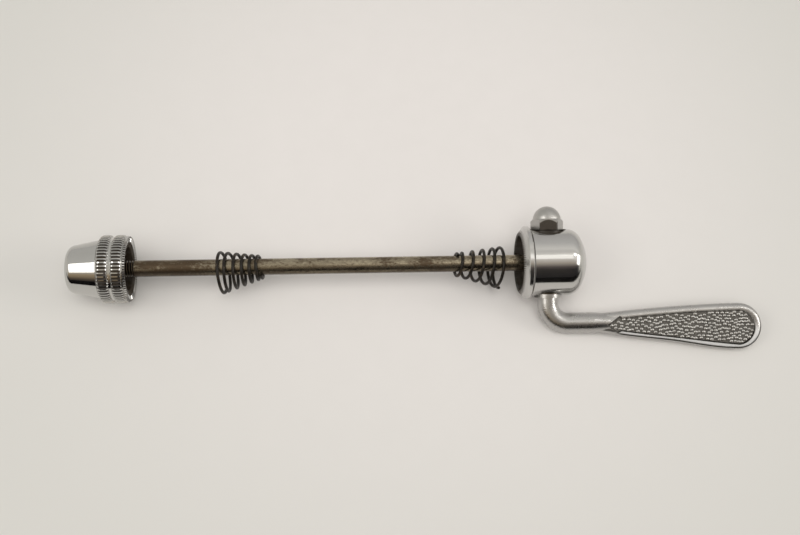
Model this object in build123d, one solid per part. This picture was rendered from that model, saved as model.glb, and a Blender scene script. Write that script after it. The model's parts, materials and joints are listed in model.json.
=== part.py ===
from build123d import *
from math import asin, atan2, cos, hypot, pi, sin, sqrt
import os

# A quick release skewer for a front hub, lying on a table with its lever half way round.
# Lengths are millimetres. The rod's axis is the X axis and the clamp ring's tooth tips lie at x = 0.
# Each piece is drawn with the lever's pivot along Y. Then everything is rolled about the rod to the
# angle at which the lever meets the table.

# Resting position
LIE_ANGLE = 26.25
LEVER_SWING = -2.62

# Cam: the lever's pivot crosses the rod's axis at PIVOT_X
PIVOT_X = 8.9
CAM_THROW = 1.1
CAM_R = 2.6
CAM_GAP = 0.32
RUNNING_GAP = 0.03
BIG_JOURNAL_R = CAM_R + CAM_THROW + 0.15
SMALL_JOURNAL_R = CAM_R + 0.25
PIVOT_THREAD_R = 2.5

# Rod and its eye
ROD_R = 2.5
CLAMP_GAP = 119.0
ROD_INSIDE_NUT = 12.0
ROD_END_CHAMFER = 0.5
EYE_THICKNESS = 2 * ROD_R + 0.6
EYE_WALL = 1.5
EYE_HALF_X = CAM_R + CAM_GAP
EYE_HALF_Z = EYE_HALF_X + CAM_THROW

# Cap body, bored to clear the eye
BODY_R = 10.3
SEAM_X = 3.0
CAP_END = 20.8
CORNER_R = 4.4
DOME_R = 16.0
BODY_EDGE = 0.4
BORE_CLEAR = 0.5
BORE_R = hypot(EYE_HALF_Z + EYE_WALL, EYE_THICKNESS / 2) + BORE_CLEAR
BORE_END = PIVOT_X + EYE_HALF_X + EYE_WALL + CAM_THROW + BORE_CLEAR

# Flat for the acorn nut, sunk into the cap until its edge just closes
NUT_FLAT_R = 5.3
NUT_FLAT_Y = sqrt(BODY_R**2 - NUT_FLAT_R**2)

# Clamp ring, toothed round its mouth, with a spigot inside the cap that stays clear of the nut's flat
RING_R = BODY_R + 1.05
RING_EDGE = 0.3
RING_BEVEL = 1.3
RING_FACE_R = RING_R - 2.05
MOUTH_R = RING_FACE_R - 0.8
MOUTH_DEPTH = 2.2
RING_HOLE_R = BORE_R + 0.2
SPIGOT_R = NUT_FLAT_Y - 0.3
SPIGOT_LENGTH = 2.0
RING_TEETH = 90
RING_TOOTH_LENGTH = 0.45
RING_TOOTH_DEPTH = 0.7
RING_TOOTH_WIDTH = 0.48

# Adjusting nut, measured outwards from its clamp face. Its knurl slots run out at the bands' ends.
KNURL_R = 10.3
KNURL_RIDGES = 60
KNURL_TIP = 0.3
KNURL_FLANK = 0.14
KNURL_DEPTH = 0.6
BAND_WIDTH = 3.45
BAND_END = 1.1
BAND_GROOVE = 0.65
BAND_GROOVE_R = KNURL_R - KNURL_DEPTH - 0.1
NUT_BEVEL = 0.95
NUT_BEVEL_LIP = 0.35
NUT_BEVEL_R = KNURL_R - 0.25
NUT_FACE_R = KNURL_R - 0.4
NUT_LAND_R = NUT_FACE_R - 0.6
NUT_RECESS_R = KNURL_R - 3.6
NUT_DISH = 0.6
NUT_RECESS_DEPTH = 6.6
NUT_TEETH = 80
NUT_TOOTH_DEPTH = 0.36
NUT_TOOTH_WIDTH = 0.56
NUT_TOOTH_LEAD = 0.2
DISH_TOOTH_DEPTH = 0.3
DISH_TOOTH_WIDTH = 0.4
CONE_R = KNURL_R - 1.3
CONE_END_R = 6.95
CONE_LENGTH = 10.1
CONE_ROUND = 2.6
THREAD_GAP = 0.05

# Lever, with its places measured from the pivot
ARM_R = 3.2
COLLAR_R = ARM_R + 1.0
COLLAR_Y = -10.9
COLLAR_FLAT_R = COLLAR_R + 0.3
COLLAR_FLAT_Y = sqrt(BODY_R**2 - COLLAR_FLAT_R**2)
ARM_Y = -19.0
BEND_R = 6.2
ARM_STRAIGHT = 14.0
ARM_FADE = 13.0
PADDLE_T = 4.2
PADDLE_ROUND = 1.7
PADDLE_TIP_R = 7.2
PADDLE_TIP = (59.5, -20.75)
PADDLE_X = (22.6, 28.7, 41.2)
PADDLE_TOP = (-15.55, -15.0, -14.15)
PADDLE_FOOT = (-23.2, -24.05, -25.65)
RIM_TOP = 1.9
RIM_TIP = 2.1
RIM_FOOT = 1.25
PANEL_DEPTH = 0.8
PANEL_DRAFT = 0.55
PANEL_POINT = (17.8, -19.8)
PANEL_BARBS = ((22.2, -16.85), (21.5, -22.45))

# Acorn nut and washer
ACORN_FLATS = 8.75
ACORN_HEX_H = 3.7
ACORN_DOME_R = ACORN_FLATS / 2 - 0.05
ACORN_DOME_H = 3.9
ACORN_TURN = -5.0
ACORN_HOLE_DEPTH = 5.4
ACORN_CORNER_DROP = 0.75
WASHER_R = NUT_FLAT_R - 0.25
WASHER_T = 0.92
WASHER_GAP = 0.05

# Springs, hanging on the rod with the large end lowest. Growth is how much wider the coils open
# towards the large end, and phase is where round the rod the small end begins.
WIRE_R = 0.48
SPRING_CLEAR = 0.36
SPRING_SMALL_R = ROD_R + WIRE_R + SPRING_CLEAR
SPRING_LARGE_R = 6.3
SPRING_CLOSED_PITCH = 2 * WIRE_R + 0.09
SPRING_SAG = SPRING_CLEAR - 0.12
NUT_SPRING_X = -79.6
NUT_SPRING_LENGTH = 12.6
NUT_SPRING_TURNS = 6.2
NUT_SPRING_GROWTH = 2.6
NUT_SPRING_PHASE = 20.0
NUT_SPRING_DROOP = 10.0
NUT_SPRING_SWING = 3.0
LEVER_SPRING_X = -19.7
LEVER_SPRING_LENGTH = 14.4
LEVER_SPRING_TURNS = 5.6
LEVER_SPRING_GROWTH = 0.85
LEVER_SPRING_PHASE = 60.0
LEVER_SPRING_DROOP = 11.0
LEVER_SPRING_Y = -0.15


def turned(*outline):
    """A solid turned about the X axis from a closed outline of (x, radius) points."""
    return revolve(make_face(Polyline(*outline, close=True)), Axis.X)


def rod_of(radius, x0, x1):
    """A cylinder along the X axis."""
    return turned((x0, 0), (x1, 0), (x1, radius), (x0, radius))


def post(radius, y0, y1, z=0.0):
    """A cylinder along the lever's pivot, from y0 to y1, offset by z."""
    disc = Plane((PIVOT_X, y0, z), x_dir=(1, 0, 0), z_dir=(0, 1, 0)) * Circle(radius)
    return extrude(disc, y1 - y0)


def pivot_slot(half_x, half_z, thickness):
    """A round-ended bar across the pivot, long in Z, centred on the rod's axis."""
    slot = Plane.XZ * Pos(PIVOT_X, 0) * Rot(0, 0, 90) * SlotOverall(2 * half_z, 2 * half_x)
    return extrude(slot, thickness / 2, both=True)


def tooth_gaps(count, width, depth, start, end, lead=0.0):
    """V-shaped gaps between teeth, cut into the left of a line from start to end, both (x, radius).

    With a lead the gaps begin that far before the start, so they run out into the air there.
    """
    run_x = end[0] - start[0]
    run_r = end[1] - start[1]
    above = 0.1
    spread = width / 2 * (1 + above / depth)
    vee = make_face(Polyline((-above, -spread), (depth, 0), (-above, spread), close=True))
    across = Plane((*start, 0), x_dir=(-run_r, run_x, 0), z_dir=(run_x, run_r, 0))
    gap = extrude(across.offset(-lead) * vee, lead + hypot(run_x, run_r))
    return [Rot(360 * i / count, 0, 0) * gap for i in range(count)]


def make_rod():
    x_end = -CLAMP_GAP - ROD_INSIDE_NUT
    rod = turned((x_end, 0), (PIVOT_X, 0), (PIVOT_X, ROD_R), (x_end + ROD_END_CHAMFER, ROD_R),
                 (x_end, ROD_R - ROD_END_CHAMFER))
    rod += pivot_slot(EYE_HALF_X + EYE_WALL, EYE_HALF_Z + EYE_WALL, EYE_THICKNESS)
    return rod - pivot_slot(EYE_HALF_X, EYE_HALF_Z, 2 * EYE_THICKNESS)


def make_cap():
    dome_x = CAP_END - DOME_R
    corner_x = dome_x + sqrt((DOME_R - CORNER_R) ** 2 - (BODY_R - CORNER_R) ** 2)
    lean = atan2(BODY_R - CORNER_R, corner_x - dome_x)
    half = (lean + pi / 2) / 2
    crest = (corner_x, BODY_R)
    corner_mid = (corner_x + CORNER_R * cos(half), BODY_R - CORNER_R + CORNER_R * sin(half))
    meet = (dome_x + DOME_R * cos(lean), DOME_R * sin(lean))
    dome_mid = (dome_x + DOME_R * cos(lean / 2), DOME_R * sin(lean / 2))
    outline = [
        Polyline((CAP_END, 0), (SEAM_X, 0), (SEAM_X, BODY_R - BODY_EDGE),
                 (SEAM_X + BODY_EDGE, BODY_R), crest),
        ThreePointArc(crest, corner_mid, meet),
        ThreePointArc(meet, dome_mid, (CAP_END, 0)),
    ]
    cap = revolve(make_face(outline), Axis.X)
    cap -= rod_of(BORE_R, SEAM_X - 1, BORE_END)
    cap -= rod_of(SPIGOT_R, SEAM_X - 1, SEAM_X + SPIGOT_LENGTH)
    cap -= post(SMALL_JOURNAL_R + RUNNING_GAP, 0, BODY_R + 1)
    cap -= post(BIG_JOURNAL_R + RUNNING_GAP, -BODY_R - 1, 0)
    cap -= post(NUT_FLAT_R, NUT_FLAT_Y, BODY_R + 1)
    return cap - post(COLLAR_FLAT_R, -BODY_R - 1, -COLLAR_FLAT_Y)


def make_ring():
    spigot_end = SEAM_X + SPIGOT_LENGTH
    ring = turned(
        (0, MOUTH_R), (0, RING_FACE_R), (RING_BEVEL, RING_R - RING_EDGE),
        (RING_BEVEL + RING_EDGE, RING_R), (SEAM_X - RING_EDGE, RING_R), (SEAM_X, RING_R - RING_EDGE),
        (SEAM_X, SPIGOT_R), (spigot_end, SPIGOT_R), (spigot_end, RING_HOLE_R),
        (MOUTH_DEPTH, RING_HOLE_R), (MOUTH_DEPTH, MOUTH_R),
    )
    outer = (0, MOUTH_R + RING_TOOTH_LENGTH)
    inner = (0, MOUTH_R - RING_TOOTH_LENGTH)
    return ring - tooth_gaps(RING_TEETH, RING_TOOTH_WIDTH, RING_TOOTH_DEPTH, outer, inner)


def band_outline(x0, x1):
    """A knurled band from x0 back to x1: flat on top, rounded down to the groove at both ends."""
    sink = KNURL_R - BAND_GROOVE_R
    bow = (BAND_END**2 + sink**2) / (2 * sink)
    half = asin(BAND_END / bow) / 2
    mid_x = BAND_END - bow * sin(half)
    mid_r = KNURL_R - bow * (1 - cos(half))
    top_0 = (x0 - BAND_END, KNURL_R)
    top_1 = (x1 + BAND_END, KNURL_R)
    return [
        ThreePointArc((x0, BAND_GROOVE_R), (x0 - mid_x, mid_r), top_0),
        Line(top_0, top_1),
        ThreePointArc(top_1, (x1 + mid_x, mid_r), (x1, BAND_GROOVE_R)),
    ]


def make_nut():
    face = -CLAMP_GAP
    band_2 = face - NUT_BEVEL
    groove = band_2 - BAND_WIDTH
    band_1 = groove - BAND_GROOVE
    cone = band_1 - BAND_WIDTH
    end = cone - CONE_LENGTH
    recess_end = face - NUT_RECESS_DEPTH
    dish = (face - NUT_DISH, NUT_RECESS_R)
    land = (face, NUT_LAND_R)
    crest = (face, NUT_FACE_R)
    lip = (band_2 + NUT_BEVEL_LIP, NUT_BEVEL_R)
    outline = [
        Polyline((recess_end, 0), (recess_end, NUT_RECESS_R), dish, land, crest, lip,
                 (band_2, BAND_GROOVE_R)),
        *band_outline(band_2, groove),
        Line((groove, BAND_GROOVE_R), (band_1, BAND_GROOVE_R)),
        *band_outline(band_1, cone),
        Polyline((cone, BAND_GROOVE_R), (cone, CONE_R), (end, CONE_END_R), (end, 0), (recess_end, 0)),
    ]
    nut = revolve(make_face(outline), Axis.X)
    tail = nut.edges().filter_by(GeomType.CIRCLE).sort_by(Axis.X)[0]
    nut = fillet(tail, CONE_ROUND)

    floor_r = KNURL_R - KNURL_DEPTH
    above_r = KNURL_R + 0.1
    tip = KNURL_TIP / 2 / KNURL_R
    foot = tip + KNURL_FLANK / KNURL_R
    pitch = 2 * pi / KNURL_RIDGES
    ridges = []
    for i in range(KNURL_RIDGES):
        for turn, radius in ((-tip, above_r), (tip, above_r), (foot, floor_r), (pitch - foot, floor_r)):
            ridges.append((radius * cos(i * pitch + turn), radius * sin(i * pitch + turn)))
    around = Circle(KNURL_R + 1) - make_face(Polyline(*ridges, close=True))
    nut -= extrude(Plane.YZ.offset(cone) * around, band_2 - cone)
    nut -= tooth_gaps(NUT_TEETH, NUT_TOOTH_WIDTH, NUT_TOOTH_DEPTH, crest, lip, NUT_TOOTH_LEAD)
    nut -= tooth_gaps(NUT_TEETH, DISH_TOOTH_WIDTH, DISH_TOOTH_DEPTH, dish, land, NUT_TOOTH_LEAD)
    return nut - rod_of(ROD_R + THREAD_GAP, end - 1, face)


def paddle_edges(inset_top, inset_tip, inset_foot):
    """The paddle's upper edge, round tip and lower edge, drawn inset from its outline."""
    tip_x, tip_y = PADDLE_TIP
    top = list(zip(PADDLE_X, PADDLE_TOP)) + [(tip_x, tip_y + PADDLE_TIP_R)]
    foot = list(zip(PADDLE_X, PADDLE_FOOT)) + [(tip_x, tip_y - PADDLE_TIP_R)]
    top = [(x, y - inset_top) for x, y in top]
    foot = [(x, y + inset_foot) for x, y in foot]
    tip = (tip_x + PADDLE_TIP_R - inset_tip, tip_y + (inset_foot - inset_top) / 2)
    return top, tip, foot


def paddle_face():
    top, tip, foot = paddle_edges(0, 0, 0)
    root_top = (ARM_STRAIGHT - 3, ARM_Y + ARM_R - 0.5)
    root_foot = (ARM_STRAIGHT - 3, ARM_Y - ARM_R + 0.5)
    outline = make_face([
        Line(root_foot, root_top),
        Spline(root_top, *top, tangents=[(1, 0), (1, 0)]),
        ThreePointArc(top[-1], tip, foot[-1]),
        Spline(*reversed(foot), root_foot, tangents=[(-1, 0), (-1, 0)]),
    ])
    return Pos(PIVOT_X, 0) * outline


def panel_face(inset):
    """The sunk panel: an arrowhead, whose barbs leave the rim pointed ends, and the rim right round."""
    top, tip, foot = paddle_edges(RIM_TOP + inset, RIM_TIP + inset, RIM_FOOT + inset)
    point = (PANEL_POINT[0] + inset * sqrt(3), PANEL_POINT[1])
    barb_top = (PANEL_BARBS[0][0], PANEL_BARBS[0][1] - inset)
    barb_foot = (PANEL_BARBS[1][0], PANEL_BARBS[1][1] + inset)
    outline = make_face([
        Polyline(foot[0], barb_foot, point, barb_top, top[0]),
        Spline(*top, tangents=[(1, 0.09), (1, 0)]),
        ThreePointArc(top[-1], tip, foot[-1]),
        Spline(*reversed(foot), tangents=[(-1, 0.1), (-1, 0.13)]),
    ])
    return Pos(PIVOT_X, 0) * outline


def make_lever():
    shoulder = NUT_FLAT_Y + WASHER_GAP
    inner_end = EYE_THICKNESS / 2 + 1.2
    lever = post(BIG_JOURNAL_R, -COLLAR_FLAT_Y - RUNNING_GAP, -inner_end)
    lever += post(CAM_R, -inner_end, inner_end, CAM_THROW)
    lever += post(SMALL_JOURNAL_R, inner_end, shoulder)
    lever += post(PIVOT_THREAD_R, shoulder, shoulder + WASHER_T + ACORN_HOLE_DEPTH - 0.5)
    lever += post(COLLAR_R, COLLAR_Y, -COLLAR_FLAT_Y - RUNNING_GAP)

    root = (PIVOT_X, COLLAR_Y + 0.5, 0)
    path = FilletPolyline(root, (PIVOT_X, ARM_Y, 0), (PIVOT_X + ARM_STRAIGHT, ARM_Y, 0), radius=BEND_R)
    start = Plane(root, x_dir=(1, 0, 0), z_dir=(0, -1, 0))
    lever += sweep(start * Circle(ARM_R), path)
    fade = Cone(ARM_R, PADDLE_T / 2, ARM_FADE, align=(Align.CENTER, Align.CENTER, Align.MIN))
    lever += Pos(PIVOT_X + ARM_STRAIGHT, ARM_Y, 0) * Rot(0, 90, 0) * fade

    paddle = extrude(paddle_face(), PADDLE_T / 2, both=True)
    rims = [e for e in paddle.edges() if abs(abs(e.center().Z) - PADDLE_T / 2) < 1e-6]
    rims = [e for e in rims if e.center().X > PIVOT_X + ARM_STRAIGHT]
    lever += fillet(rims, PADDLE_ROUND)
    surface = Pos(0, 0, PADDLE_T / 2) * panel_face(0)
    lever -= loft([Pos(0, 0, PADDLE_T / 2 - PANEL_DEPTH) * panel_face(PANEL_DRAFT), surface], ruled=True)
    lever -= extrude(surface, ARM_R)
    hinge = Axis((PIVOT_X, 0, 0), (0, 1, 0))
    return lever.rotate(hinge, LEVER_SWING)


def make_acorn_nut():
    seat = NUT_FLAT_Y + WASHER_GAP + WASHER_T
    plane = Plane((PIVOT_X, seat, 0), x_dir=(1, 0, 0), z_dir=(0, 1, 0))
    corner_r = ACORN_FLATS / sqrt(3)
    hexagon = RegularPolygon(corner_r, 6, rotation=ACORN_TURN)
    skirt_r = 2 * corner_r - ACORN_DOME_R
    skirt = Polyline((0, 0), (skirt_r, 0), (skirt_r, ACORN_HEX_H - 2 * ACORN_CORNER_DROP),
                     (ACORN_DOME_R, ACORN_HEX_H), (0, ACORN_HEX_H), close=True)
    nut = extrude(hexagon, ACORN_HEX_H) & revolve(Plane.XZ * make_face(skirt), Axis.Z)
    bow = (ACORN_DOME_R**2 + ACORN_DOME_H**2) / (2 * ACORN_DOME_H)
    half = asin(ACORN_DOME_R / bow) / 2
    edge = (ACORN_DOME_R, ACORN_HEX_H)
    top_h = ACORN_HEX_H + ACORN_DOME_H
    dome = [
        Polyline(edge, (0, ACORN_HEX_H), (0, top_h)),
        ThreePointArc((0, top_h), (bow * sin(half), top_h - bow * (1 - cos(half))), edge),
    ]
    nut += revolve(Plane.XZ * make_face(dome), Axis.Z)
    nut -= extrude(Circle(PIVOT_THREAD_R + THREAD_GAP), ACORN_HOLE_DEPTH)
    return plane * nut


def make_washer():
    seat = NUT_FLAT_Y + WASHER_GAP
    hole = post(PIVOT_THREAD_R + THREAD_GAP, seat - 1, seat + WASHER_T + 1)
    return post(WASHER_R, seat, seat + WASHER_T) - hole


def make_spring(length, turns, growth, phase):
    """A left-hand conical spring along X, its small end at x = 0, with a closed turn at each end."""
    arcs_per_turn = 6
    steps = 2 * round(turns * arcs_per_turn)
    per_turn = steps / turns
    openness = []
    for i in range(steps):
        turn = (i + 0.5) / per_turn
        opening = min(1, max(0, min(turn, turns - turn) - 0.6) * 2)
        openness.append(opening * (1 + (growth - 1) * i / steps))
    open_pitch = (length - SPRING_CLOSED_PITCH * turns) * per_turn / sum(openness)
    points = []
    x = 0
    for i in range(steps + 1):
        radius = SPRING_SMALL_R + (SPRING_LARGE_R - SPRING_SMALL_R) * x / length
        turn = phase * pi / 180 - 2 * pi * i / per_turn
        points.append((x, radius * cos(turn), radius * sin(turn)))
        if i < steps:
            x += (SPRING_CLOSED_PITCH + open_pitch * openness[i]) / per_turn
    path = Wire([ThreePointArc(*points[i:i + 3]) for i in range(0, steps, 2)])
    section = Plane(path @ 0, z_dir=path % 0) * Circle(WIRE_R)
    return sweep(section, path)


pieces = {
    "skewer_rod": make_rod(),
    "adjusting_nut": make_nut(),
    "cap_body": make_cap(),
    "clamp_ring": make_ring(),
    "cam_lever": make_lever(),
    "acorn_nut": make_acorn_nut(),
    "acorn_washer": make_washer(),
}
roll = Rot(LIE_ANGLE, 0, 0)
pieces = {name: roll * piece for name, piece in pieces.items()}
nut_spring = make_spring(NUT_SPRING_LENGTH, NUT_SPRING_TURNS, NUT_SPRING_GROWTH, NUT_SPRING_PHASE)
nut_spring = Rot(0, 0, NUT_SPRING_SWING) * Rot(0, -NUT_SPRING_DROOP, 0) * Rot(0, 0, 180) * nut_spring
pieces["nut_spring"] = Pos(NUT_SPRING_X, 0, -SPRING_SAG) * nut_spring
lever_spring = make_spring(LEVER_SPRING_LENGTH, LEVER_SPRING_TURNS, LEVER_SPRING_GROWTH,
                           LEVER_SPRING_PHASE)
lever_spring = Rot(0, LEVER_SPRING_DROOP, 0) * lever_spring
pieces["lever_spring"] = Pos(LEVER_SPRING_X, LEVER_SPRING_Y, -SPRING_SAG) * lever_spring

os.makedirs("parts", exist_ok=True)
for name, piece in pieces.items():
    print(name, len(piece.solids()), round(piece.volume, 1), piece.is_valid)
    export_step(piece, f"parts/{name}.step")
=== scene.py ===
# %% [markdown]
# # A quick release skewer on a pale table
# The skewer clamps a bicycle wheel into its frame. A thin rod runs through the hub; a knurled nut
# screws on one end, and a cam lever inside a domed cap pulls on the other. The solids come from
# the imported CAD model, which is loaded first as a fixed frame. This lesson dresses them: it sets
# up the camera, the table and the light, cuts a real thread, raises the pebbles on the lever, and
# gives each metal its own worn finish.

# %% Load the frame
import json
import math
import random

import bpy
from mathutils import Matrix, Vector

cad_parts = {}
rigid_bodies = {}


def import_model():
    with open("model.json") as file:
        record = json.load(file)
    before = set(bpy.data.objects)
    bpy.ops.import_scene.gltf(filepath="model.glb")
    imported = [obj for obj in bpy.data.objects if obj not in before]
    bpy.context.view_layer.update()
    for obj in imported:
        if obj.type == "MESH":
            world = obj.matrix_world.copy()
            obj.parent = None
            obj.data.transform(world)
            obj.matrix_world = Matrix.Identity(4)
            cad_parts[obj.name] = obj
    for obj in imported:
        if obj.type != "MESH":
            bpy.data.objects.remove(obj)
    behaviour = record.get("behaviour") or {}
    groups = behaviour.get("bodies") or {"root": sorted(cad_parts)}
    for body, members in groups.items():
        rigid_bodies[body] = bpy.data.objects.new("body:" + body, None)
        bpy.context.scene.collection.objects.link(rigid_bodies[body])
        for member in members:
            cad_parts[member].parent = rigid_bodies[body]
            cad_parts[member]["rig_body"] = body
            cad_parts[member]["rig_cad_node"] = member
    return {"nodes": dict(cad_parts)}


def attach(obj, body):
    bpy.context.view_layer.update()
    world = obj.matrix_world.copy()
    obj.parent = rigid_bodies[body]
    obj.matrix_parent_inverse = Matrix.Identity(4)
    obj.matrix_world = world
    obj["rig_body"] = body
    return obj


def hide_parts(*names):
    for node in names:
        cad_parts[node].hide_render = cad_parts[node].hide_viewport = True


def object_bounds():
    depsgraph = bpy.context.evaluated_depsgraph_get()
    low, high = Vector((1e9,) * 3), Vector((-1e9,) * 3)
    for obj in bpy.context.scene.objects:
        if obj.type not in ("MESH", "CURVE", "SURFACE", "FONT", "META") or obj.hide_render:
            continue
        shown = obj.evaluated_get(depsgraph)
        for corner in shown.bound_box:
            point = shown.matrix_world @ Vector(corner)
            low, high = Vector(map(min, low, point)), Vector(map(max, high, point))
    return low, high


MM = 0.001

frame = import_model()
nodes = frame["nodes"]
cad_low, cad_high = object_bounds()
bpy.ops.object.select_all(action="DESELECT")
print("nodes", sorted(nodes))
print("CAD box, mm", [round(v / MM, 1) for v in (*cad_low, *cad_high)])

# %% [markdown]
# ## The camera
# The picture was taken from above, about 25 degrees towards the near side, where the lever lies.
# A camera has a place, three angles and a focal length. They were found by fitting the rims, the
# rod and the lever's tip to where they lie in the picture, which is 800 by 535 pixels, so the
# focal length is first written in pixels.

# %% Set the camera
PICTURE_WIDTH = 800
FOCAL_PIXELS = 1020.0
SENSOR_WIDTH = 36.0
CAMERA_PLACE = Vector((-56.35, -134.89, 284.04)) * MM
CAMERA_TURN = [math.radians(a) for a in (25.24, -3.51, -0.90)]

bpy.ops.object.camera_add(location=CAMERA_PLACE)
camera = bpy.context.object
camera.name = "picture_camera"
camera.rotation_mode = "ZYX"
camera.rotation_euler = CAMERA_TURN
camera.data.sensor_width = SENSOR_WIDTH
camera.data.lens = FOCAL_PIXELS / PICTURE_WIDTH * SENSOR_WIDTH
camera.data.clip_start = 0.01
bpy.context.scene.camera = camera
bpy.context.scene.view_settings.view_transform = "Standard"
print("lens", round(camera.data.lens, 1), "mm")

# %% [markdown]
# ## Small helpers for finishes
# Every finish is a node graph on Object coordinates, which are metres in the model's frame. A
# helper adds a node and sets its sockets by name, so the graphs below read like lists. Places on
# this object are easiest to tell in millimetres along the rod or the lever's pivot and as a
# distance from that axis, so more helpers give those.


# %% Helpers for node graphs
def new_finish(name):
    material = bpy.data.materials.new(name)
    material.use_nodes = True
    return material, material.node_tree.nodes["Principled BSDF"]


def add_node(tree, kind, links=None, settings=None, **inputs):
    """Adds a node; settings are its properties, inputs its socket values, links what feeds it."""
    node = tree.nodes.new(kind)
    for key, value in (settings or {}).items():
        setattr(node, key, value)
    for key, value in inputs.items():
        node.inputs[key.replace("_", " ")].default_value = value
    for key, source in (links or {}).items():
        tree.links.new(source, node.inputs[key])
    return node


def place_mm(tree):
    """Object coordinates in millimetres."""
    coordinate = add_node(tree, "ShaderNodeTexCoord").outputs["Object"]
    scaled = add_node(
        tree, "ShaderNodeVectorMath", {0: coordinate}, {"operation": "SCALE"}, Scale=1 / MM,
    )
    return scaled.outputs[0]


def noise(tree, place, size, detail=4.0, roughness=0.55, stretch=(1, 1, 1)):
    """Soft random patches of about the given size in millimetres."""
    scaled = add_node(
        tree, "ShaderNodeMapping", {"Vector": place}, Scale=[s / size for s in stretch],
    )
    return add_node(
        tree, "ShaderNodeTexNoise", {"Vector": scaled.outputs[0]},
        Scale=1.0, Detail=detail, Roughness=roughness,
    ).outputs["Fac"]


def math_node(tree, operation, first, second=None, clamp=False):
    """One sum on two sockets or numbers."""
    node = tree.nodes.new("ShaderNodeMath")
    node.operation = operation
    node.use_clamp = clamp
    for socket, value in zip(node.inputs, (first, second)):
        if value is None:
            continue
        if isinstance(value, (int, float)):
            socket.default_value = value
        else:
            tree.links.new(value, socket)
    return node.outputs[0]


def step_between(tree, value, start, end):
    """Rises smoothly from 0 at start to 1 at end; falls if start is above end."""
    node = add_node(
        tree, "ShaderNodeMapRange", {"Value": value}, {"interpolation_type": "SMOOTHSTEP"},
        **{"From_Min": min(start, end), "From_Max": max(start, end)},
        **{"To_Min": float(start > end), "To_Max": float(start <= end)},
    )
    return node.outputs["Result"]


def blend_colour(tree, share, first, second):
    """Goes from the first colour to the second; each is three numbers or a socket."""
    node = tree.nodes.new("ShaderNodeMix")
    node.data_type = "RGBA"
    tree.links.new(share, node.inputs["Factor"])
    for socket, colour in ((node.inputs[6], first), (node.inputs[7], second)):
        if isinstance(colour, tuple):
            socket.default_value = (*colour, 1)
        else:
            tree.links.new(colour, socket)
    return node.outputs[2]


def blend_value(tree, share, first, second):
    """Goes from the first number to the second."""
    node = add_node(tree, "ShaderNodeMapRange", {"Value": share}, To_Min=first, To_Max=second)
    return node.outputs["Result"]


def rod_radius(tree, place):
    """Distance from the rod's axis and the place along it, in millimetres."""
    parts = add_node(tree, "ShaderNodeSeparateXYZ", {0: place})
    squares = [math_node(tree, "POWER", parts.outputs[i], 2.0) for i in (1, 2)]
    radius = math_node(tree, "SQRT", math_node(tree, "ADD", *squares))
    return radius, parts.outputs[0]


def from_pivot_product(tree, place, operation, axis):
    """The cross or dot product of an axis and the way from the lever's pivot to a point."""
    offset = add_node(tree, "ShaderNodeVectorMath", {0: place}, {"operation": "SUBTRACT"})
    offset.inputs[1].default_value = PIVOT / MM
    product = add_node(
        tree, "ShaderNodeVectorMath", {0: offset.outputs[0]}, {"operation": operation},
    )
    product.inputs[1].default_value = axis
    return product


def offset_along(tree, place, axis):
    """How far a point lies from the lever's pivot along an axis, in millimetres."""
    return from_pivot_product(tree, place, "DOT_PRODUCT", axis).outputs["Value"]


def pivot_radius(tree, place):
    """Distance from the pivot and the place along it, towards the acorn nut, in millimetres."""
    crossed = from_pivot_product(tree, place, "CROSS_PRODUCT", PIVOT_AXIS)
    length = add_node(
        tree, "ShaderNodeVectorMath", {0: crossed.outputs[0]}, {"operation": "LENGTH"},
    )
    return length.outputs["Value"], offset_along(tree, place, PIVOT_AXIS)


def within(tree, value, low, high, soft=0.05):
    """1 between low and high and 0 outside, with soft edges."""
    rise = step_between(tree, value, low - soft, low + soft)
    fall = step_between(tree, value, high + soft, high - soft)
    return math_node(tree, "MULTIPLY", rise, fall)


def all_of(tree, first, second):
    """1 only where both shares are 1."""
    return math_node(tree, "MULTIPLY", first, second)


def any_of(tree, *shares):
    """The largest of several shares."""
    most = shares[0]
    for share in shares[1:]:
        most = math_node(tree, "MAXIMUM", most, share)
    return most


def bump(tree, shader, height, strength, distance):
    """Roughens a surface by a height; the distance is in millimetres."""
    node = add_node(
        tree, "ShaderNodeBump", {"Height": height}, Strength=strength, Distance=distance * MM,
    )
    tree.links.new(node.outputs[0], shader.inputs["Normal"])


def dress(node_name, material):
    """Gives a CAD node a better finish in its own slot."""
    nodes[node_name].material_slots[0].material = material


PIVOT = Vector((8.9, 0, 0)) * MM
LIE_ANGLE = math.radians(26.25)
LEVER_SWING = math.radians(-2.62)
PIVOT_AXIS = Vector((0, math.cos(LIE_ANGLE), math.sin(LIE_ANGLE)))
PIVOT_UP = Vector((0, -math.sin(LIE_ANGLE), math.cos(LIE_ANGLE)))
lever_place = (
    Matrix.Rotation(LIE_ANGLE, 4, "X")
    @ Matrix.Translation(PIVOT)
    @ Matrix.Rotation(LEVER_SWING, 4, "Y")
)
lever_along = (lever_place.to_3x3() @ Vector((1, 0, 0))).normalized()
lever_across = (lever_place.to_3x3() @ Vector((0, 1, 0))).normalized()
lever_up = (lever_place.to_3x3() @ Vector((0, 0, 1))).normalized()
print("lever's pivot leans", round(math.degrees(LIE_ANGLE), 2), "degrees")

# %% [markdown]
# ## The table
# The skewer lies on an off-white table top that looks like smooth card, with a faint mottle. Its
# colour greys a little away from the middle: painted shade for the light falling off. A plane at
# the height of the lowest point is enough.

# %% Table top
TABLE_SIZE = 6
LIGHT_POOL_MIDDLE = (-25, 45, 0)
PAINTED_FALLOFF = (30, 190)

bpy.ops.mesh.primitive_plane_add(size=TABLE_SIZE, location=(0, 0, cad_low.z))
table_top = bpy.context.object
table_top.name = "table_top"

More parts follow.
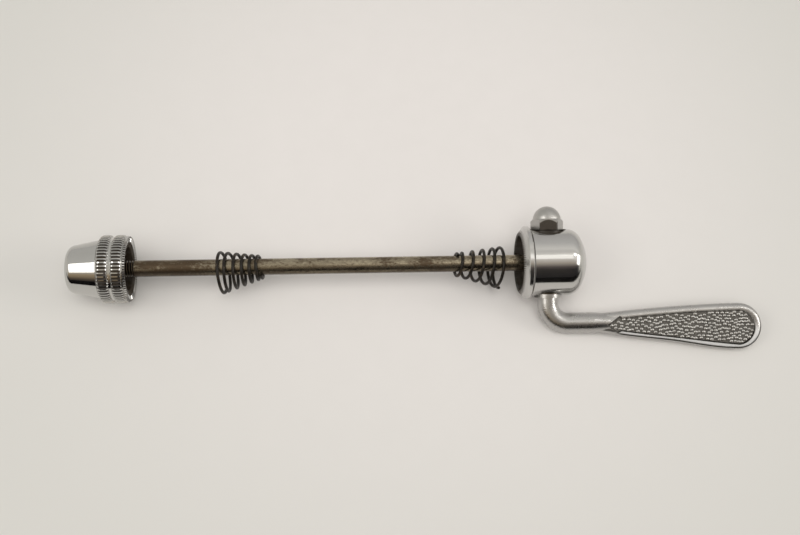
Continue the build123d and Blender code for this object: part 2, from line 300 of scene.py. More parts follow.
card, shader = new_finish("pale_card")
tree = card.node_tree
place = place_mm(tree)
mottle = noise(tree, place, 9.0, detail=6)
colour = blend_colour(tree, mottle, (0.803, 0.766, 0.734), (0.835, 0.797, 0.765))
# Painted shade: the card's colour greys away from a bright middle, standing for the light's
# falloff.
middle = add_node(tree, "ShaderNodeVectorMath", {0: place}, {"operation": "DISTANCE"})
middle.inputs[1].default_value = LIGHT_POOL_MIDDLE
falloff_shade = step_between(tree, middle.outputs["Value"], *PAINTED_FALLOFF)
colour = blend_colour(tree, falloff_shade, colour, (0.69, 0.675, 0.63))
tree.links.new(colour, shader.inputs["Base Color"])
shader.inputs["Roughness"].default_value = 0.7
shader.inputs["Specular IOR Level"].default_value = 0.25
table_top.data.materials.append(card)
print("table at", round(cad_low.z / MM, 2), "mm")

# %% [markdown]
# ## Light
# Chrome shows its surroundings, so the light is placed by what the metal shows. Lamps hang in a
# row straight over the rod; they make the spots on the acorn nut, and a weaker one makes the
# strip along the cap. A tall window to the right makes the white bar on the cap's corner, and a
# large, weaker panel to the left makes the white bar on the nut. Each light's numbers are its
# place in x and y, its width and depth, all in metres, and its radiance. The two small lamps show
# only as spots: they don't light what is dull.

# %% Lamps and a soft panel
LIGHT_HEIGHT = 0.75
LIGHT_COLOUR = (1.0, 0.975, 0.94)
LIGHTS = {
    "left_lamp": (-0.50, 0.03, 0.16, 0.16, 7.0),
    "strip_lamp": (0.17, -0.09, 0.20, 0.18, 0.7),
    "middle_lamp": (0.46, 0.03, 0.13, 0.13, 7.0),
    "right_window": (1.30, -0.22, 0.34, 0.72, 6.0),
    "left_panel": (-0.74, -0.247, 0.44, 0.617, 2.2),
}
SPOTS_ONLY = ("left_lamp", "middle_lamp")

for label, (x, y, width, depth, radiance) in LIGHTS.items():
    bpy.ops.object.light_add(type="AREA", location=(x, y, LIGHT_HEIGHT))
    light = bpy.context.object
    light.name = label
    light.data.shape = "RECTANGLE"
    light.data.size = width
    light.data.size_y = depth
    light.data.energy = radiance * math.pi * width * depth
    light.data.color = LIGHT_COLOUR
    light.rotation_euler = (0, math.atan2(x, LIGHT_HEIGHT), 0)
    light.visible_diffuse = label not in SPOTS_ONLY
print("lights", list(LIGHTS))

# %% [markdown]
# The shadows are soft but narrow and lie a little behind the rod. So most of the table's light
# comes from a wide skylight, a little on the near side. A sun lamp with a large angle gives that
# light evenly over the whole table. The metal doesn't show it, so reflections don't see it.

# %% Skylight for the table
SKYLIGHT_TILT = math.radians(17)
SKYLIGHT_WIDTH = math.radians(44)
SKYLIGHT_STRENGTH = 1.06

bpy.ops.object.light_add(type="SUN", location=(0, 0, 1), rotation=(SKYLIGHT_TILT, 0, 0))
skylight = bpy.context.object
skylight.name = "skylight"
skylight.data.angle = SKYLIGHT_WIDTH
skylight.data.energy = SKYLIGHT_STRENGTH
skylight.data.color = (1.0, 0.99, 0.975)
skylight.visible_glossy = False
print("skylight", round(math.degrees(SKYLIGHT_WIDTH)), "degrees wide")

# %% [markdown]
# The chrome is black near its lower edge, where it should show the far table. So something dark
# stands close by on the near side, just outside the picture: here a black card, as photographers
# use. Only reflections see it.

# %% Black card
CARD_HEIGHT = 0.034
CARD_WIDTH = 1.6
CARD_X, CARD_Y = -0.03, -0.098

bpy.ops.mesh.primitive_plane_add(
    size=1, location=(CARD_X, CARD_Y, cad_low.z + CARD_HEIGHT / 2), rotation=(math.pi / 2, 0, 0),
)
card_flag = bpy.context.object
card_flag.name = "black_card"
card_flag.scale = (CARD_WIDTH, CARD_HEIGHT, 1)
card_flag.visible_camera = False
card_flag.visible_diffuse = False
card_flag.visible_shadow = False
black, shader = new_finish("black_paper")
shader.inputs["Base Color"].default_value = (0.012, 0.011, 0.011, 1)
shader.inputs["Roughness"].default_value = 0.9
shader.inputs["Specular IOR Level"].default_value = 0.1
card_flag.data.materials.append(black)
print("black card stands at", round(card_flag.location.y / MM), "mm")

# %% [markdown]
# ## The room
# The rest of what the metal shows is the room. It is pale at the back and overhead, and dark on
# the near side. Its colour is told by the lean, the angle in degrees from straight up towards the
# near side. The left half of the room is a little browner than the right half. For dull surfaces
# the room is a pale dome, brightest overhead, which fills the shadows on the table.

# %% Room around the table
LEFT_ROOM = (
    (-110, (0.56, 0.546, 0.518)),
    (-50, (0.588, 0.574, 0.532)),
    (-8, (0.63, 0.616, 0.574)),
    (41, (0.588, 0.539, 0.448)),
    (49, (0.42, 0.329, 0.224)),
    (59, (0.308, 0.238, 0.154)),
    (70, (0.119, 0.0924, 0.0672)),
    (79, (0.042, 0.0364, 0.0308)),
    (92, (0.0336, 0.0294, 0.0252)),
    (104, (0.56, 0.546, 0.518)),
)
RIGHT_ROOM = (
    (-110, (0.532, 0.518, 0.497)),
    (-77, (0.546, 0.525, 0.504)),
    (-45, (0.644, 0.63, 0.602)),
    (-22, (0.896, 0.868, 0.812)),
    (-13, (0.756, 0.728, 0.686)),
    (-6, (0.84, 0.812, 0.756)),
    (12, (0.938, 0.896, 0.833)),
    (21, (0.658, 0.602, 0.532)),
    (29, (0.469, 0.413, 0.35)),
    (41, (0.115, 0.0952, 0.0896)),
    (50, (0.0364, 0.0336, 0.0336)),
    (94, (0.0224, 0.021, 0.021)),
    (101, (0.532, 0.518, 0.497)),
)
LEFT_TO_RIGHT = (-0.15, 0.05)
TO_END_WALLS = (0.78, 0.95)
END_WALL = (0.70, 0.67, 0.61)
DOME_EDGE, DOME_TOP = (0.20, 0.199, 0.195), (0.54, 0.536, 0.527)
PLAIN_BACKDROP = (0.70, 0.685, 0.66)

room = bpy.data.worlds.new("pale_room")
bpy.context.scene.world = room
room.use_nodes = True
tree = room.node_tree
backdrop = tree.nodes["Background"]
direction = add_node(tree, "ShaderNodeTexCoord").outputs["Generated"]
parts = add_node(tree, "ShaderNodeSeparateXYZ", {0: direction})
towards_viewer = math_node(tree, "MULTIPLY", parts.outputs[1], -1.0)
lean = math_node(tree, "ARCTAN2", towards_viewer, parts.outputs[2])
lean_share = math_node(tree, "DIVIDE", math_node(tree, "ADD", lean, math.pi), 2 * math.pi)


def room_side(stops):
    """One half of the room: a colour for each lean."""
    ramp = add_node(tree, "ShaderNodeValToRGB", {0: lean_share})
    ends = ramp.color_ramp.elements
    while len(ends) < len(stops):
        ends.new(0.5)
    for stop, (angle, colour) in zip(ends, stops):
        stop.position = (angle + 180) / 360
        stop.color = (*colour, 1)
    return ramp.outputs["Color"]


rightwards = step_between(tree, parts.outputs[0], *LEFT_TO_RIGHT)
around = blend_colour(tree, rightwards, room_side(LEFT_ROOM), room_side(RIGHT_ROOM))
sideways = math_node(tree, "ABSOLUTE", parts.outputs[0])
around = blend_colour(tree, step_between(tree, sideways, *TO_END_WALLS), around, END_WALL)
ray = add_node(tree, "ShaderNodeLightPath")
dome = blend_colour(tree, parts.outputs[2], DOME_EDGE, DOME_TOP)
around = blend_colour(tree, ray.outputs["Is Diffuse Ray"], around, dome)
around = blend_colour(tree, ray.outputs["Is Camera Ray"], around, PLAIN_BACKDROP)
tree.links.new(around, backdrop.inputs["Color"])
backdrop.inputs["Strength"].default_value = 1.0
print("room stops", len(LEFT_ROOM), len(RIGHT_ROOM))

# %% [markdown]
# ## Chrome on the nut, the cap and the ring
# The plating is bright on the nut and hazier on the cap, with grime where nothing rubs: down the
# knurl, between the teeth, in the seam and inside the recesses. Grime is told by place, so it
# sits in the right grooves from every side. One helper mixes plate and grime; the share of grime,
# which on the cap also carries painted shade, is worked out for each piece in turn.


# %% Plate and grime
def chrome(shader, tree, place, grime_and_shade, haze, brushed=0.0):
    """Chrome where the share is 0 and dark brown where it is 1: dirt, and on the cap painted shade.

    Brushed chrome was polished on a lathe: its scratches run round the rod, so highlights are drawn
    out along it.
    """
    smudge = noise(tree, place, 3.2, detail=5)
    fine = noise(tree, place, 0.35, detail=2)
    patchy = blend_value(tree, smudge, 0.8, 1.15)
    grime_and_shade = math_node(tree, "MULTIPLY", grime_and_shade, patchy, clamp=True)
    plate = blend_colour(tree, smudge, (0.56, 0.556, 0.542), (0.60, 0.596, 0.585))
    dark_colour = blend_colour(tree, fine, (0.022, 0.017, 0.012), (0.070, 0.052, 0.034))
    tree.links.new(blend_colour(tree, grime_and_shade, plate, dark_colour), shader.inputs["Base Color"])
    tree.links.new(blend_value(tree, grime_and_shade, 1.0, 0.15), shader.inputs["Metallic"])
    shine = blend_value(tree, smudge, haze * 0.7, haze * 1.3)
    shine = math_node(tree, "ADD", shine, blend_value(tree, grime_and_shade, 0.0, 0.5))
    tree.links.new(shine, shader.inputs["Roughness"])
    tree.links.new(blend_value(tree, grime_and_shade, 0.5, 0.2), shader.inputs["Specular IOR Level"])
    bump(tree, shader, fine, 0.12, 0.02)
    if brushed:
        shader.inputs["Anisotropic"].default_value = brushed
        shader.inputs["Anisotropic Rotation"].default_value = 0.25
        round_rod = {"direction_type": "RADIAL", "axis": "X"}
        tangent = add_node(tree, "ShaderNodeTangent", settings=round_rod)
        tree.links.new(tangent.outputs[0], shader.inputs["Tangent"])


print("chrome helper ready")

# %% [markdown]
# The nut's knurled bands are flat on top and rounded down at both ends. How far a point lies
# below that outline tells the dirty slots from the bright ridges. The toothed rim and the toothed
# dish inside it have their own, straight outlines. Here and in the cells below, a pair of numbers
# in brackets gives where a share is 0 and where it is 1, or the two ends of a stretch.

# %% Nut chrome
BANDS = (-125.775, -121.675)
BAND_R = 10.3
BAND_FLAT_HALF = 0.625
BAND_DROP, BAND_END = 0.7, 1.1
SLOT_DEPTH = (0.08, 0.36)
CLAMP_FACE = -119.0
RIM_R, RIM_SLOPE = 9.9, 0.25
RIM_TEETH = (-119.7, -118.95)
RIM_TOOTH_DEPTH = (0.05, 0.25)
RIM_INSIDE = (9.42, 9.5)
DISH_SLOPE, DISH_APEX = 0.2308, -121.146
DISH_TEETH = (6.72, 9.35)
DISH_TOOTH_DEPTH = (0.04, 0.2)
DISH_BACK = (-120.2, -120.0)
RECESS_R, RECESS_BACK = (6.78, 6.7), (-125.8, -125.7)

nut_chrome, shader = new_finish("nut_chrome")
tree = nut_chrome.node_tree
place = place_mm(tree)
radius, along = rod_radius(tree, place)
slots = []
for centre in BANDS:
    off_centre = math_node(tree, "ABSOLUTE", math_node(tree, "SUBTRACT", along, centre))
    past_flat = math_node(tree, "SUBTRACT", off_centre, BAND_FLAT_HALF)
    past_flat = math_node(tree, "MAXIMUM", past_flat, 0.0)
    squared = math_node(tree, "POWER", past_flat, 2.0)
    drop = math_node(tree, "MULTIPLY", squared, BAND_DROP / BAND_END**2)
    depth = math_node(tree, "SUBTRACT", math_node(tree, "SUBTRACT", BAND_R, drop), radius)
    slots.append(step_between(tree, depth, *SLOT_DEPTH))
past_face = math_node(tree, "SUBTRACT", CLAMP_FACE, along)
rim = math_node(tree, "ADD", math_node(tree, "MULTIPLY", past_face, RIM_SLOPE), RIM_R)
teeth = step_between(tree, math_node(tree, "SUBTRACT", rim, radius), *RIM_TOOTH_DEPTH)
teeth = all_of(tree, teeth, within(tree, along, *RIM_TEETH))
teeth = all_of(tree, teeth, step_between(tree, radius, *RIM_INSIDE))
dish = math_node(tree, "ADD", math_node(tree, "MULTIPLY", radius, DISH_SLOPE), DISH_APEX)
dish_gaps = step_between(tree, math_node(tree, "SUBTRACT", dish, along), *DISH_TOOTH_DEPTH)
dish_gaps = all_of(tree, dish_gaps, within(tree, radius, *DISH_TEETH))
dish_gaps = all_of(tree, dish_gaps, step_between(tree, along, *DISH_BACK))
recess = all_of(
    tree, step_between(tree, radius, *RECESS_R), step_between(tree, along, *RECESS_BACK),
)
grime_and_shade = any_of(tree, *slots, teeth, dish_gaps, recess)
chrome(shader, tree, place, grime_and_shade, haze=0.06)
dress("adjusting_nut", nut_chrome)
print("nut grime in", len(BANDS), "bands")

# %% [markdown]
# On the cap, dirt has gathered in the seam with the ring. Round the lever's hole and under the
# acorn nut the cap is darkened by painted shade over some dirt.

# %% Cap chrome
BORE_R, BORE_END = (6.95, 6.85), (16.5, 16.0)
SEAM = (2.8, 3.42)
SEAM_SHARE = 0.85
NECK_R, NECK_SIDE = (4.7, 4.5), (-4.0, -5.0)
SEAT_R, SEAT_SIDE = (6.5, 6.1), (4.0, 5.0)

cap_chrome, shader = new_finish("cap_chrome")
tree = cap_chrome.node_tree
place = place_mm(tree)
radius, along = rod_radius(tree, place)
from_pivot, pivot_along = pivot_radius(tree, place)
ragged = math_node(tree, "MULTIPLY", noise(tree, place, 1.4, detail=4), 0.7)
ragged = math_node(tree, "ADD", from_pivot, ragged)
bore = all_of(tree, step_between(tree, radius, *BORE_R), step_between(tree, along, *BORE_END))
seam = math_node(tree, "MULTIPLY", within(tree, along, *SEAM, soft=0.08), SEAM_SHARE)
# Painted shade over some dirt, in the scoops round the lever's hole and under the acorn nut.
hole_shade = all_of(
    tree, step_between(tree, ragged, *NECK_R), step_between(tree, pivot_along, *NECK_SIDE),
)
seat_shade = all_of(
    tree, step_between(tree, ragged, *SEAT_R), step_between(tree, pivot_along, *SEAT_SIDE),
)
grime_and_shade = any_of(tree, bore, seam, hole_shade, seat_shade)
chrome(shader, tree, place, grime_and_shade, haze=0.15, brushed=0.9)
dress("cap_body", cap_chrome)
print("cap finish", cap_chrome.name)

# %% [markdown]
# The ring's mouth is brown with old grease. It fills the gaps between the teeth and runs out from
# each gap in a point, so the grease is told by the turn round the rod, counted in teeth. The
# bevel is scuffed where it has been pressed against the frame.

# %% Ring chrome
RING_TEETH = 90
MOUTH_R = (8.66, 8.56)
GAP_HALF, GAP_TAPER = 0.42, 0.6
GAP_EDGE = (-0.04, 0.04)
SCUFF_END = (1.5, 1.2)
SCUFF_SHARE = 0.05

ring_chrome, shader = new_finish("ring_chrome")
tree = ring_chrome.node_tree
place = place_mm(tree)
radius, along = rod_radius(tree, place)
mouth = step_between(tree, radius, *MOUTH_R)
parts = add_node(tree, "ShaderNodeSeparateXYZ", {0: place})
turn = math_node(tree, "ARCTAN2", parts.outputs[2], parts.outputs[1])
turn = math_node(tree, "SUBTRACT", turn, LIE_ANGLE)
pitches = math_node(tree, "MULTIPLY", turn, RING_TEETH / (2 * math.pi))
to_gap = math_node(tree, "PINGPONG", pitches, 0.5)
gap_half = math_node(tree, "SUBTRACT", GAP_HALF, math_node(tree, "MULTIPLY", along, GAP_TAPER))
gaps = step_between(tree, math_node(tree, "SUBTRACT", gap_half, to_gap), *GAP_EDGE)
scuff = math_node(tree, "MULTIPLY", step_between(tree, along, *SCUFF_END), SCUFF_SHARE)
chrome(shader, tree, place, any_of(tree, mouth, gaps, scuff), haze=0.19, brushed=0.6)
dress("clamp_ring", ring_chrome)
print("ring finish", ring_chrome.name)

# %% [markdown]
# ## The lever's finish
# The lever is a forging under thinner plate. Its skin is satin and grainy, so its reflections are
# soft and break up at their edges. The collar, close to the cap, is darkened by painted shade. The
# paddle's near rim has a painted highlight on top, with a thin painted dark reflection below; both
# are found by their height over the lever's middle plane.

# %% Lever chrome
COLLAR_END, COLLAR_R = (-10.0, -9.6), (5.2, 4.8)
PADDLE_START = (20.0, 23.0)
NEAR_HALF = (-18.0, -22.5)
RIM_TOP = (1.84, 1.94)
DARK_REFLECTION_BAND = (1.45, 1.80)

lever_chrome, shader = new_finish("lever_plate")
tree = lever_chrome.node_tree
place = place_mm(tree)
peel = noise(tree, place, 0.4, detail=4)
wear = noise(tree, place, 4.0, detail=6)
plate = blend_colour(tree, wear, (0.43, 0.423, 0.412), (0.53, 0.523, 0.512))
from_pivot, pivot_along = pivot_radius(tree, place)
collar_shade = all_of(
    tree, step_between(tree, pivot_along, *COLLAR_END), step_between(tree, from_pivot, *COLLAR_R),
)
# Painted shade: the collar is painted nearly black where it sits in the cap's scoop.
plate = blend_colour(tree, collar_shade, plate, (0.05, 0.04, 0.03))
on_paddle = step_between(tree, offset_along(tree, place, lever_along), *PADDLE_START)
near_half = step_between(tree, offset_along(tree, place, lever_across), *NEAR_HALF)
near_rim = all_of(tree, on_paddle, near_half)
height = offset_along(tree, place, lever_up)
# Painted highlight: a pale, less metallic band along the near rim's crest.
rim_highlight = all_of(tree, near_rim, step_between(tree, height, *RIM_TOP))
# Painted dark reflection: a thin dark line just below the crest.
rim_dark_reflection = all_of(tree, near_rim, within(tree, height, *DARK_REFLECTION_BAND, soft=0.06))
plate = blend_colour(tree, rim_highlight, plate, (0.84, 0.83, 0.81))
plate = blend_colour(tree, rim_dark_reflection, plate, (0.03, 0.027, 0.024))
tree.links.new(plate, shader.inputs["Base Color"])
tree.links.new(blend_value(tree, rim_highlight, 1.0, 0.3), shader.inputs["Metallic"])
tree.links.new(blend_value(tree, wear, 0.22, 0.34), shader.inputs["Roughness"])
bump(tree, shader, peel, 0.55, 0.09)
dress("cam_lever", lever_chrome)
print("lever plated")

# %% [markdown]
# ## Acorn nut and washer
# The acorn nut is plain steel with a satin skin. The flat that faces up is painted dark brown, a
# painted reflection, and the foot nearly black, painted shade. The flat is found by its height
# square to the pivot, and its painted reflection ends in an arch under the dome. The washer under
# the nut is nearly black with oil and painted shade.

# %% Satin steel
FLAT_HEIGHT = (3.75, 4.0)
FLAT_DARK_SPAN = (10.2, 13.7)
ARCH_R, ARCH_RISE = 4.0, 1.4
FOOT_END = (10.85, 10.3)

satin, shader = new_finish("satin_steel")
tree = satin.node_tree
place = place_mm(tree)
grain = noise(tree, place, 0.22, detail=3)
stain = noise(tree, place, 2.2, detail=5)
from_pivot, pivot_along = pivot_radius(tree, place)
height = offset_along(tree, place, PIVOT_UP)
arch = math_node(tree, "MULTIPLY", math_node(tree, "SUBTRACT", from_pivot, ARCH_R), ARCH_RISE)
arched = within(tree, math_node(tree, "ADD", pivot_along, arch), *FLAT_DARK_SPAN, soft=0.2)
# Painted reflection: the flat that faces up is painted dark brown, for the dark it mirrors.
flat_reflection = all_of(tree, step_between(tree, height, *FLAT_HEIGHT), arched)
# Painted shade: the foot is painted nearly black, for the shade under the nut.
foot_shade = step_between(tree, math_node(tree, "ADD", pivot_along, stain), *FOOT_END)
steel = blend_colour(tree, stain, (0.42, 0.413, 0.40), (0.53, 0.522, 0.505))
dark_colour = blend_colour(tree, grain, (0.05, 0.043, 0.037), (0.136, 0.121, 0.107))
skin = blend_colour(tree, foot_shade, blend_colour(tree, flat_reflection, steel, dark_colour), (0.018, 0.015, 0.013))
tree.links.new(skin, shader.inputs["Base Color"])
shader.inputs["Metallic"].default_value = 1.0
tree.links.new(blend_value(tree, stain, 0.32, 0.44), shader.inputs["Roughness"])
bump(tree, shader, grain, 0.25, 0.03)
dress("acorn_nut", satin)

oily_and_shaded, shader = new_finish("shaded_oily_washer")
tree = oily_and_shaded.node_tree
film = noise(tree, place_mm(tree), 1.2, detail=5)
# Painted shade over an oily film: the washer is nearly black under the acorn nut.
oil_and_shade = blend_colour(tree, film, (0.012, 0.010, 0.008), (0.05, 0.04, 0.03))
tree.links.new(oil_and_shade, shader.inputs["Base Color"])
shader.inputs["Metallic"].default_value = 0.4
tree.links.new(blend_value(tree, film, 0.3, 0.55), shader.inputs["Roughness"])
dress("acorn_washer", oily_and_shaded)
print("acorn nut and washer dressed")

# %% [markdown]
# ## Black spring wire
# The springs are wound from black wire with a soft sheen, rubbed a little grey and brown in
# places.

# %% Spring wire
wire, shader = new_finish("black_wire")
tree = wire.node_tree
place = place_mm(tree)
rub = noise(tree, place, 1.6, detail=5)
worn = step_between(tree, rub, 0.52, 0.72)
skin = blend_colour(tree, worn, (0.013, 0.010, 0.007), (0.085, 0.062, 0.04))
tree.links.new(skin, shader.inputs["Base Color"])
shader.inputs["Specular IOR Level"].default_value = 0.35
tree.links.new(blend_value(tree, worn, 0.3, 0.65), shader.inputs["Metallic"])
tree.links.new(blend_value(tree, rub, 0.28, 0.5), shader.inputs["Roughness"])
bump(tree, shader, noise(tree, place, 0.3, detail=2), 0.2, 0.03)
dress("nut_spring", wire)
dress("lever_spring", wire)
print("springs dressed")

# %% [markdown]
# ## The rod and its thread
# The rod is 5 mm steel with an M5 thread cut on the nut's end. The CAD rod is a plain cylinder,
# so a new rod stands for it: a copy of the CAD rod is cut off where the thread ends, and a
# V-shaped outline one pitch long is wound along the axis with a Screw modifier. Bisecting with
# fill closes both ends.

# %% Plain part of the rod
THREAD_END = -117.8 * MM
ROD_TIP = -131.0 * MM
WELD = 1e-6


def only(obj):
    """Makes one object the only one that is selected and active."""
    bpy.ops.object.select_all(action="DESELECT")
    obj.select_set(True)
    bpy.context.view_layer.objects.active = obj


def cut_off(obj, x, keep_above):
    """Cuts a mesh square across the rod at x, keeps one side and closes the cut."""
    only(obj)
    bpy.ops.object.mode_set(mode="EDIT")
    bpy.ops.mesh.select_all(action="SELECT")
    bpy.ops.mesh.bisect(
        plane_co=(x, 0, 0), plane_no=(1, 0, 0), use_fill=True,
        clear_inner=keep_above, clear_outer=not keep_above,
    )
    bpy.ops.object.mode_set(mode="OBJECT")


rod = nodes["skewer_rod"].copy()
rod.data = nodes["skewer_rod"].data.copy()
bpy.context.collection.objects.link(rod)
rod.name = "threaded_rod"
rod.parent = None
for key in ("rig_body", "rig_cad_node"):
    del rod[key]
only(rod)
bpy.ops.object.mode_set(mode="EDIT")
bpy.ops.mesh.select_all(action="SELECT")
bpy.ops.mesh.customdata_custom_splitnormals_clear()
bpy.ops.mesh.remove_doubles(threshold=WELD)
bpy.ops.object.mode_set(mode="OBJECT")
cut_off(rod, THREAD_END, keep_above=True)
print("plain rod", len(rod.data.polygons), "faces")

# %% Wind the thread
PITCH = 0.8 * MM
CREST_R = 2.48 * MM
ROOT_R = 2.03 * MM
STEPS = 40
OVERLAP = 0.3 * MM
SPARE_TURNS = 2
THREAD_CREASE = math.radians(32)
OUTLINE = ((0.0, ROOT_R), (0.14, ROOT_R), (0.50, CREST_R), (0.64, CREST_R), (1.0, ROOT_R))

bpy.ops.mesh.primitive_circle_add(
    vertices=len(OUTLINE), radius=PITCH, fill_type="NOTHING", location=(0, 0, 0),
)
thread = bpy.context.object
thread.name = "thread"
for vertex, (share, radius) in zip(thread.data.vertices, OUTLINE):
    vertex.co = (ROD_TIP - PITCH + share * PITCH, radius, 0)
only(thread)
bpy.ops.object.mode_set(mode="EDIT")
bpy.ops.mesh.select_all(action="DESELECT")
bpy.ops.object.mode_set(mode="OBJECT")
for side in thread.data.edges:
    side.select = set(side.vertices) == {0, len(OUTLINE) - 1}
bpy.ops.object.mode_set(mode="EDIT")
bpy.ops.mesh.select_mode(type="EDGE")
bpy.ops.mesh.delete(type="EDGE")
bpy.ops.object.mode_set(mode="OBJECT")
winding = thread.modifiers.new("winding", "SCREW")
winding.axis = "X"
winding.screw_offset = PITCH
winding.iterations = math.ceil((THREAD_END - ROD_TIP) / PITCH) + SPARE_TURNS
winding.steps = winding.render_steps = STEPS
winding.use_merge_vertices = True
winding.merge_threshold = WELD
bpy.ops.object.modifier_apply(modifier=winding.name)
cut_off(thread, ROD_TIP, keep_above=True)
cut_off(thread, THREAD_END + OVERLAP, keep_above=False)
only(thread)
bpy.ops.object.mode_set(mode="EDIT")
bpy.ops.mesh.select_all(action="SELECT")
bpy.ops.mesh.remove_doubles(threshold=WELD)
bpy.ops.mesh.normals_make_consistent(inside=False)
bpy.ops.object.mode_set(mode="OBJECT")
print("thread", len(thread.data.polygons), "faces")

# %% Join the rod and give it its place
bpy.ops.object.select_all(action="DESELECT")
thread.select_set(True)
rod.select_set(True)
bpy.context.view_layer.objects.active = rod
bpy.ops.object.join()
bpy.ops.object.shade_smooth_by_angle(angle=THREAD_CREASE)
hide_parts("skewer_rod")
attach(rod, "rod")
print("rod", len(rod.data.polygons), "faces")

# %% [markdown]
# ## Rust and stain on the rod
# Old steel carries several layers: grey metal, brown rust in streaks along the rod, nearly black
# spots, and greasy dirt in the thread. Noise of different sizes, stretched along X, mixes them.
# There is more rust towards the nut, and the side that faces the viewer is darker.

# %% Rusty steel
RUSTED = (0.43, 0.59)
RUSTIER, RUSTIER_SHARE = (-78, -112), 0.4
THREADED = (THREAD_END / MM + 0.6, THREAD_END / MM - 0.4)
GREASE_R = (2.46, 2.15)
NEAR_SIDE, NEAR_SIDE_SHARE = (-1.2, -2.2), 0.65

rusty, shader = new_finish("rusty_rod")
tree = rusty.node_tree
place = place_mm(tree)
radius, along = rod_radius(tree, place)
blotch = noise(tree, place, 5.0, detail=8, roughness=0.65, stretch=(0.45, 1, 1))
speck = noise(tree, place, 0.6, detail=6, roughness=0.75, stretch=(0.6, 1, 1))
streak = noise(tree, place, 2.2, detail=4, stretch=(0.12, 1, 1))
metal = blend_colour(tree, streak, (0.27, 0.23, 0.16), (0.49, 0.43, 0.32))
rust = blend_colour(tree, speck, (0.022, 0.014, 0.007), (0.13, 0.085, 0.045))
halves = [math_node(tree, "MULTIPLY", patches, 0.5) for patches in (blotch, speck)]
rusted = step_between(tree, math_node(tree, "ADD", *halves), *RUSTED)
browner = math_node(tree, "MULTIPLY", step_between(tree, along, *RUSTIER), RUSTIER_SHARE)
rusted = math_node(tree, "ADD", rusted, browner, clamp=True)
threaded = step_between(tree, along, *THREADED)
greasy = all_of(tree, threaded, step_between(tree, radius, *GREASE_R))
rusted = math_node(tree, "MAXIMUM", rusted, math_node(tree, "MULTIPLY", threaded, 0.7))
skin = blend_colour(tree, rusted, metal, rust)
skin = blend_colour(tree, greasy, skin, (0.022, 0.017, 0.012))
across = add_node(tree, "ShaderNodeSeparateXYZ", {0: place}).outputs[1]
near_side = math_node(tree, "MULTIPLY", step_between(tree, across, *NEAR_SIDE), NEAR_SIDE_SHARE)
skin = blend_colour(tree, near_side, skin, (0.03, 0.022, 0.014))
tree.links.new(skin, shader.inputs["Base Color"])
tree.links.new(blend_value(tree, rusted, 1.0, 0.55), shader.inputs["Metallic"])
tree.links.new(blend_value(tree, rusted, 0.17, 0.36), shader.inputs["Roughness"])
bump(tree, shader, speck, 0.3, 0.06)
rod.data.materials.clear()
rod.data.materials.append(rusty)
print("rod finish", rusty.name)

# %% [markdown]
# ## Pebbles on the lever's panel
# The sunk panel of the lever has a pebbled floor. Each pebble is a low dome, pressed with the
# forging, so it is geometry. First the floor itself is skinned: the floor's faces are copied from
# the CAD lever and thickened by a few hundredths of a millimetre, so the floor can be darker than
# the rim.

# %% Skin of the panel's floor
PADDLE_THICKNESS = 4.2 * MM
PANEL_DEPTH = 0.8 * MM
FLOOR_Z = PADDLE_THICKNESS / 2 - PANEL_DEPTH
SKIN = 0.04 * MM
FLOOR_SLACK = 0.02 * MM
FACING_UP = 0.99
FLAT_ANGLE = 0.02
lever = nodes["cam_lever"]

skin = lever.copy()
skin.data = lever.data.copy()
bpy.context.collection.objects.link(skin)
skin.name = "panel_floor"
skin.parent = None
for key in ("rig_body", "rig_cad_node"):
    del skin[key]
to_lever = lever_place.inverted()
only(skin)
bpy.ops.object.mode_set(mode="EDIT")
bpy.ops.mesh.customdata_custom_splitnormals_clear()
bpy.ops.mesh.select_mode(type="FACE")
bpy.ops.mesh.select_all(action="DESELECT")
bpy.ops.object.mode_set(mode="OBJECT")
for face in skin.data.polygons:
    off_floor = abs((to_lever @ face.center).z - FLOOR_Z) > FLOOR_SLACK
    face.select = off_floor or face.normal.dot(lever_up) < FACING_UP
bpy.ops.object.mode_set(mode="EDIT")
bpy.ops.mesh.delete(type="FACE")
bpy.ops.mesh.select_all(action="SELECT")
bpy.ops.mesh.remove_doubles(threshold=WELD)
bpy.ops.mesh.dissolve_limited(angle_limit=FLAT_ANGLE)
bpy.ops.mesh.select_all(action="SELECT")
bpy.ops.mesh.extrude_region_move(TRANSFORM_OT_translate={"value": lever_up * SKIN})
bpy.ops.mesh.select_all(action="SELECT")
bpy.ops.mesh.normals_make_consistent(inside=False)
bpy.ops.object.mode_set(mode="OBJECT")
print("panel floor", len(skin.data.polygons), "faces")

# %% One pebble
PEBBLE_R = 0.66 * MM
PEBBLE_HEIGHT = 0.44 * MM
PEBBLE_PITCH = 0.96 * MM
PEBBLE_BASE = -0.1 * PEBBLE_R
PEBBLE_NARROWING = 0.9
PEBBLE_CREASE = math.radians(60)

bpy.ops.object.select_all(action="DESELECT")
bpy.ops.mesh.primitive_uv_sphere_add(
    segments=10, ring_count=8, radius=PEBBLE_R, location=(0, 0, 0),
)
pebble = bpy.context.object
bpy.ops.object.mode_set(mode="EDIT")
bpy.ops.mesh.select_all(action="SELECT")
bpy.ops.mesh.bisect(
    plane_co=(0, 0, PEBBLE_BASE), plane_no=(0, 0, 1), use_fill=True, clear_inner=True,
)
bpy.ops.mesh.select_all(action="SELECT")
bpy.ops.transform.resize(
    value=(1, PEBBLE_NARROWING, PEBBLE_HEIGHT / PEBBLE_R), center_override=(0, 0, 0),
)
bpy.ops.object.mode_set(mode="OBJECT")
print("one pebble", len(pebble.data.polygons), "faces")

# %% [markdown]
# Rays cast at the CAD lever tell where the floor is, so the pebbles follow its outline. Places
# are thrown at random and kept only if no earlier pebble is too near. After many throws hardly
# any gap is left, and there are no rows.

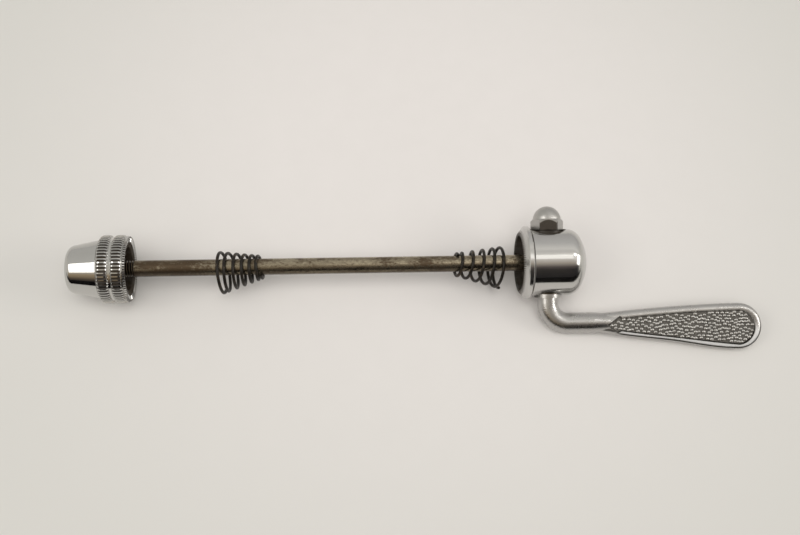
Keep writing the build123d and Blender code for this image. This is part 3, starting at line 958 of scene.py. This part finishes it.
# %% Scatter the pebbles
THROWS = 24000
PANEL_ALONG, PANEL_ACROSS = (17.5, 66.5), (-27.5, -14.5)
ABOVE_LEVER = 5 * MM
HIT_SLACK = 0.03 * MM
PROBE_R = 0.5 * PEBBLE_R
PROBE_ANGLES = (0.5, 2.1, 3.7, 5.3)
SIZES, TURNS = (0.9, 1.1), (-0.5, 0.5)
SEED = 7


def floor_under(u, v):
    """True if the lever's panel floor lies under the point u, v of the lever's plane."""
    hit, where, _, _ = lever.ray_cast(lever_place @ Vector((u, v, ABOVE_LEVER)), -lever_up)
    return hit and abs((to_lever @ where).z - FLOOR_Z) < HIT_SLACK


def too_near(u, v, earlier):
    """True if an earlier pebble lies closer than the pitch, scaled by its size."""
    other_u, other_v, size, _ = earlier
    if abs(u - other_u) >= PEBBLE_PITCH:
        return False
    return math.hypot(u - other_u, v - other_v) < PEBBLE_PITCH * size


scatter = random.Random(SEED)
places = []
for _ in range(THROWS):
    u = scatter.uniform(*PANEL_ALONG) * MM
    v = scatter.uniform(*PANEL_ACROSS) * MM
    if any(too_near(u, v, earlier) for earlier in places):
        continue
    probes = [(u + PROBE_R * math.cos(a), v + PROBE_R * math.sin(a)) for a in PROBE_ANGLES]
    if all(floor_under(*probe) for probe in probes):
        places.append((u, v, scatter.uniform(*SIZES), scatter.uniform(*TURNS)))
print("places", len(places))

# %% [markdown]
# Each place gets a copy of the pebble, sized and turned a little differently. All of them are
# joined with the skin of the floor into one piece, which rides on the lever.

# %% Lay the pebbles
copies = []
for u, v, size, turn in places:
    copy = pebble.copy()
    copy.data = pebble.data.copy()
    copy.matrix_world = (
        lever_place @ Matrix.Translation((u, v, FLOOR_Z + SKIN))
        @ Matrix.Rotation(turn, 4, "Z") @ Matrix.Scale(size, 4)
    )
    bpy.context.collection.objects.link(copy)
    copies.append(copy)
bpy.data.objects.remove(pebble)
bpy.ops.object.select_all(action="DESELECT")
for copy in copies:
    copy.select_set(True)
skin.select_set(True)
bpy.context.view_layer.objects.active = skin
bpy.ops.object.join()
bpy.ops.object.transform_apply(location=True, rotation=True, scale=True)
bpy.ops.object.shade_smooth_by_angle(angle=PEBBLE_CREASE)
pebbles = skin
pebbles.name = "panel_pebbles"
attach(pebbles, "lever")
print("pebbles", len(places), "faces", len(pebbles.data.polygons))

# %% [markdown]
# Between the pebbles the plate is dull and grey with old dirt; their tops are rubbed bright.
# Height over the floor, measured square to the lever's plane, tells one from the other.

# %% Pebbled plate
RUBBED_FROM, RUBBED_TO = 0.02, 0.34

pebbled, shader = new_finish("pebbled_plate")
tree = pebbled.node_tree
place = place_mm(tree)
height = offset_along(tree, place, lever_up)
floor_height = (FLOOR_Z + SKIN) / MM
risen = step_between(tree, height, floor_height + RUBBED_FROM, floor_height + RUBBED_TO)
grit = noise(tree, place, 0.5, detail=4)
dull = blend_colour(tree, grit, (0.115, 0.107, 0.096), (0.23, 0.218, 0.2))
plate = blend_colour(tree, risen, dull, (0.47, 0.462, 0.447))
tree.links.new(plate, shader.inputs["Base Color"])
tree.links.new(blend_value(tree, risen, 0.7, 1.0), shader.inputs["Metallic"])
tree.links.new(blend_value(tree, risen, 0.5, 0.28), shader.inputs["Roughness"])
bump(tree, shader, grit, 0.25, 0.05)
pebbles.data.materials.clear()
pebbles.data.materials.append(pebbled)
print("panel finish", pebbled.name)
